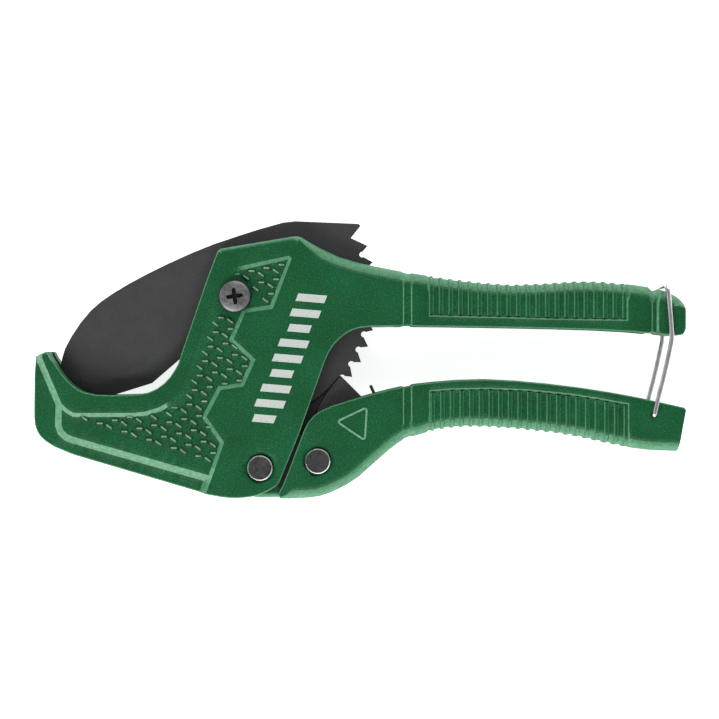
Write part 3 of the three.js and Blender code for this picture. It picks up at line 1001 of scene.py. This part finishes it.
def hexagon_nut():
    """A chamfered nut on the screw's end, under the far side."""
    (_, near_y, bottom), (_, far_y, top) = node_span("blade_nut")
    corner_r = (far_y - near_y) / 2
    corners = [polar(SCREW, corner_r - 0.02, 30 + 60 * i) for i in range(6)]
    obj = prism("blade_nut_visual", corners, bottom, top, PIN_FACE)
    chamfer = [(0, bottom), (corner_r - 0.75, bottom), (corner_r + 0.1, bottom + 0.45),
               (corner_r + 0.1, top - 0.1), (0, top - 0.1)]
    boolean(obj, turned("nut_chamfer", SCREW, chamfer, PIN_FACE), "INTERSECT")
    bore_r = SHANK_R + 0.03
    bore = [(0, bottom - 1), (3.1, bottom - 1), (bore_r, bottom + 0.55), (bore_r, top + 1), (0, top + 1)]
    boolean(obj, turned("nut_bore", SCREW, bore, PIN_FACE), "DIFFERENCE")
    finish_piece(obj, "body", "dark_steel", "blade_nut", sharp=25)


# ---------------------------------------------------------------- wire pieces

def tube(name, path, radius, material, sides=16):
    """A round wire along a line of points, with domed ends."""
    path = as_array(path)
    step = np.gradient(path, axis=0)
    step /= np.linalg.norm(step, axis=1)[:, None]
    across = np.cross(step[0], (0.31, 0.2, 0.93))
    across /= np.linalg.norm(across)
    vertices, faces = [], []
    for at, along in zip(path, step):
        across = across - along * (across @ along)
        across /= np.linalg.norm(across)
        other = np.cross(along, across)
        for i in range(sides):
            angle = 2 * math.pi * i / sides
            vertices.append(at + radius * (across * math.cos(angle) + other * math.sin(angle)))
    last = (len(path) - 1) * sides
    for row in range(len(path) - 1):
        for i in range(sides):
            k = (i + 1) % sides
            faces.append([row * sides + i, row * sides + k, (row + 1) * sides + k, (row + 1) * sides + i])
    for base, at, along, flip in ((0, path[0], -step[0], -1), (last, path[-1], step[-1], 1)):
        ring = [vertices[base + i] for i in range(sides)]
        inner = len(vertices)
        vertices += [at + along * radius * 0.25 + (p - at) * 0.7 for p in ring]
        for i in range(sides):
            k = (i + 1) % sides
            faces.append([base + i, base + k, inner + k, inner + i][::flip])
        faces.append([inner + i for i in range(sides)][::flip])
    obj = new_object(name, vertices, faces, material)
    clean(obj)
    return obj


def helix(centre, radius, low, high, turns, start):
    """Points of a coil about an upright line; low and high are the heights of its first and last points."""
    count = int(turns * 28)
    return [polar(centre, radius, start + 360 * turns * i / count) + (low + (high - low) * i / count,)
            for i in range(count + 1)]


BAIL_WIRE_R = 0.75
BAIL_LEVEL = 9.05


def latch_bail():
    """A loop from the lower handle's end, up both sides and over the upper handle's end."""
    z = BAIL_LEVEL
    x, y = BAIL
    near = [(x, y, 4.9), (x, y, 6.5), (x, y, z - 0.75), (x + 0.04, y + 0.25, z - 0.2), (x + 0.15, y + 0.9, z),
            (x + 0.35, y + 1.9, z), (88.2, -11, z), (89.5, -6, z), (90.9, 0, z), (91.75, 4, z),
            (92.05, 5.5, z), (92.1, 7, z), (91.9, 10, z), (91.45, 15.5, z), (91.1, 19.2, z),
            (90.92, 20.6, z - 0.12), (90.7, 21.4, z - 0.6), (90.52, 21.78, z - 1.4), (90.42, 21.85, z - 2.6),
            (90.4, 21.85, 3)]
    far = [(px, py, -pz) for px, py, pz in reversed(near)]
    obj = tube("latch_bail_visual", catmull(near + far, 6), BAIL_WIRE_R, BRIGHT, 20)
    finish_piece(obj, "latch_bail", "spring_wire", "latch_bail", sharp=40)


def blade_spring():
    x, y = SCREW
    level = 3.3
    coil = helix(SCREW, 5.6, level, 4.4, 1.75, 90)
    path = catmull([(x + 7.9, y + 0.4, level), (x + 4, y + 5, level)] + coil[::4], 4)
    obj = tube("blade_spring_visual", path, 0.45, SCREW_STEEL, 12)
    finish_piece(obj, "body", "plain_steel", "blade_spring", sharp=40)


def handle_spring():
    x, y = HANDLE_PIN
    coil = helix(HANDLE_PIN, 5.3, 1.6, -1.5, 2.5, 60)
    leg = [(x + 5, y - 5.5, -1.45), (x + 8.8, y - 5.7, -1.4)]
    obj = tube("handle_spring_visual", coil + leg, 0.68, SCREW_STEEL, 12)
    finish_piece(obj, "lower_handle", "plain_steel", "handle_spring", sharp=40)


def pawl_spring():
    """Its long leg ends in the short hook that shows between the handles."""
    z = 1.8
    leg = [(-9.2, -31.6, 1.4), (-6.2, -30.0, z), (-5.4, -29.0, z), (-0.6, -22.2, z), (4.4, -15.2, z),
           (5.1, -13.6, z), (5.15, -12.4, z), (4.3, -10, z), (3.3, -7.8, z)]
    coil = helix(PAWL_PIN, 3.4, 2.3, 1.4, 1.75, 90)
    obj = tube("pawl_spring_visual", catmull(coil[::4] + leg, 4), 0.48, DARK_WIRE, 12)
    finish_piece(obj, "pawl", "dark_steel", "pawl_spring", sharp=40)


# ---------------------------------------------------------------- pawl

PAWL_FLANK = as_array([(-5.3, -4.9), (-9.9, -10.2), (-12.2, -14.3), (-14.5, -20), (-15.5, -30)])
PAWL_STEP, PAWL_STEP_WIDTH = 0.5, 0.25
PAWL_GROOVE_R, PAWL_GROOVE_HALF = 43, 1.8
NOSE_HALF = 1.45


def flank_x(y):
    """Where the flank's line lies at a given y."""
    return np.interp(-y, -PAWL_FLANK[:, 1], PAWL_FLANK[:, 0])


def pawl_height(points):
    """The flank beside the blade's rim is one small step down."""
    return -PAWL_STEP * slope(flank_x(points[:, 1]) - points[:, 0], PAWL_STEP_WIDTH)


def pawl():
    """The cast pawl: its nose reaches between the blade's teeth, its cheeks pass either side of the rim."""
    half = half_thickness("pawl")
    turn = [polar(PAWL_PIN, 5, angle) for angle in (-160, -130, -90, -50, -20)]
    right = catmull([(-7.2, -29.4), (-3.4, -24.5), (1.5, -17.5), (2.9, -13.3)], 5)
    rim_side = [polar(SCREW, 38.9, angle) for angle in (-37, -42, -47, -52, -57)]
    left = catmull([(-17.2, -18.5), (-18.4, -24), (-17.5, -29)], 5)
    loop = resample(np.vstack([rim_side, left, turn, right]), 0.7)
    step_lines = [PAWL_FLANK, PAWL_FLANK - (PAWL_STEP_WIDTH, 0)]
    obj = relief_solid(
        "pawl_visual", loop, half, even(0.15), pawl_height, no_sink, step_lines, PAWL_COAT, grid=1.5)
    # painted shade: the flank beside the blade's rim goes near-black
    paint_faces(obj, PAINTED_SHADE_BLACK, lambda face: face.center.x / MM < flank_x(face.center.y / MM))
    groove = [(0, -PAWL_GROOVE_HALF), (PAWL_GROOVE_R, -PAWL_GROOVE_HALF), (PAWL_GROOVE_R, PAWL_GROOVE_HALF),
              (0, PAWL_GROOVE_HALF)]
    # the groove's cut faces take the near-black painted shade
    boolean(obj, turned("pawl_groove", SCREW, groove, PAINTED_SHADE_BLACK, 256), "DIFFERENCE")
    nose = [(-4.72, -5.85), (-3.7, -8.9), (-3.6, -12), (0.9, -12.2), (0.9, -11.45)]
    boolean(obj, prism("pawl_nose", nose, -NOSE_HALF, NOSE_HALF, PAWL_COAT), "UNION")
    bore = [(0, -9), (2.3, -9), (2.3, 0.7), (5.9, 0.7), (5.9, 9), (0, 9)]  # the pin's, widened for the spring
    boolean(obj, turned("pawl_bore", PAWL_PIN, bore, PAWL_COAT), "DIFFERENCE")
    finish_piece(obj, "pawl", "coated_blade", "pawl", sharp=28)


def repaint(node, material):
    """Gives a CAD node that keeps its own shape a full material."""
    obj = frame["nodes"][node]
    for slot in obj.material_slots:
        slot.material = material


body_casting()
lower_handle()
rib_set("upper_handle_ribs", "body_casting", 22.0, UPPER_BORDER, True, "body")
rib_set("lower_handle_ribs", "lower_handle", 22.4, LOWER_BORDER, False, "lower_handle")
tick_texture()
raised_triangle()
printed_bars()
blade()
blade_screw()
hexagon_nut()
headed_pin("handle_pin_visual", HANDLE_PIN, 2.9, "handle_pin", "body")
headed_pin("pawl_pin_visual", PAWL_PIN, 2.2, "pawl_pin", "lower_handle")
push_washer("handle_pin_washer_visual", "handle_pin_washer", HANDLE_PIN, 2.93, "body")
push_washer("pawl_pin_washer_visual", "pawl_pin_washer", PAWL_PIN, 2.23, "lower_handle")
latch_bail()
blade_spring()
handle_spring()
pawl_spring()
pawl()
for inner in ("blade_bushing", "blade_washer_near", "blade_washer_far", "blade_lock_washer", "handle_sleeve"):
    repaint(inner, SCREW_STEEL)


# ---------------------------------------------------------------- floor, light and camera

FLOOR_REACH = 3000
CAMERA_DISTANCE = 0.56  # metres above the near faces
VIEW_WIDTH = 0.2124  # metres across at that distance


def floor():
    """A pale sheet at the resting level, with a glow of its own so that it stays near white."""
    corners = [(u * FLOOR_REACH, v * FLOOR_REACH, -MID) for u, v in ((-1, -1), (1, -1), (1, 1), (-1, 1))]
    paper = bpy.data.materials.new("floor")
    paper.use_nodes = True
    obj = new_object("floor", corners, [(0, 1, 2, 3)], paper)
    shader = paper.node_tree.nodes["Principled BSDF"]
    shader.inputs["Base Color"].default_value = (0.93, 0.93, 0.93, 1)
    shader.inputs["Emission Color"].default_value = (1, 1, 1, 1)
    shader.inputs["Emission Strength"].default_value = 0.8
    shader.inputs["Roughness"].default_value = 0.9


def area_light(name, place, size, power):
    light = bpy.data.lights.new(name, "AREA")
    light.shape = "RECTANGLE"
    light.size, light.size_y = size
    light.energy = power
    obj = bpy.data.objects.new(name, light)
    obj.location = place
    obj.rotation_euler = (Vector((0, 0, 0)) - Vector(place)).to_track_quat("-Z", "Y").to_euler()
    bpy.context.scene.collection.objects.link(obj)


def lighting():
    """A pale tent, dimmer overhead than at its sides, with a soft lamp on either side of the tool."""
    world = bpy.data.worlds.new("studio")
    world.use_nodes = True
    tree = world.node_tree
    sky = tree.nodes["Background"]
    direction = tree.nodes.new("ShaderNodeTexCoord")
    split = tree.nodes.new("ShaderNodeSeparateXYZ")
    shade = tree.nodes.new("ShaderNodeValToRGB")
    tree.links.new(direction.outputs["Generated"], split.inputs[0])
    tree.links.new(split.outputs["Z"], shade.inputs["Fac"])
    tree.links.new(shade.outputs["Color"], sky.inputs["Color"])
    for point, (at, value) in zip(shade.color_ramp.elements, ((0.35, 0.8), (0.9, 0.34))):
        point.position = at
        point.color = (*grey(value), 1)
    sky.inputs["Strength"].default_value = 0.95
    bpy.context.scene.world = world
    area_light("key", (-0.3, -0.7, 0.6), (0.7, 0.4), 8)
    area_light("fill", (0.2, 0.75, 0.55), (0.8, 0.4), 4)


def camera():
    """Looks straight down on the near side."""
    data = bpy.data.cameras.new("camera")
    data.sensor_width = 36
    data.lens = data.sensor_width * CAMERA_DISTANCE / VIEW_WIDTH
    obj = bpy.data.objects.new("camera", data)
    obj.location = (0, 0, CAMERA_DISTANCE + (MID + HALF) * MM)
    bpy.context.scene.collection.objects.link(obj)
    bpy.context.scene.camera = obj
    bpy.context.scene.view_settings.view_transform = "Standard"


floor()
lighting()
camera()
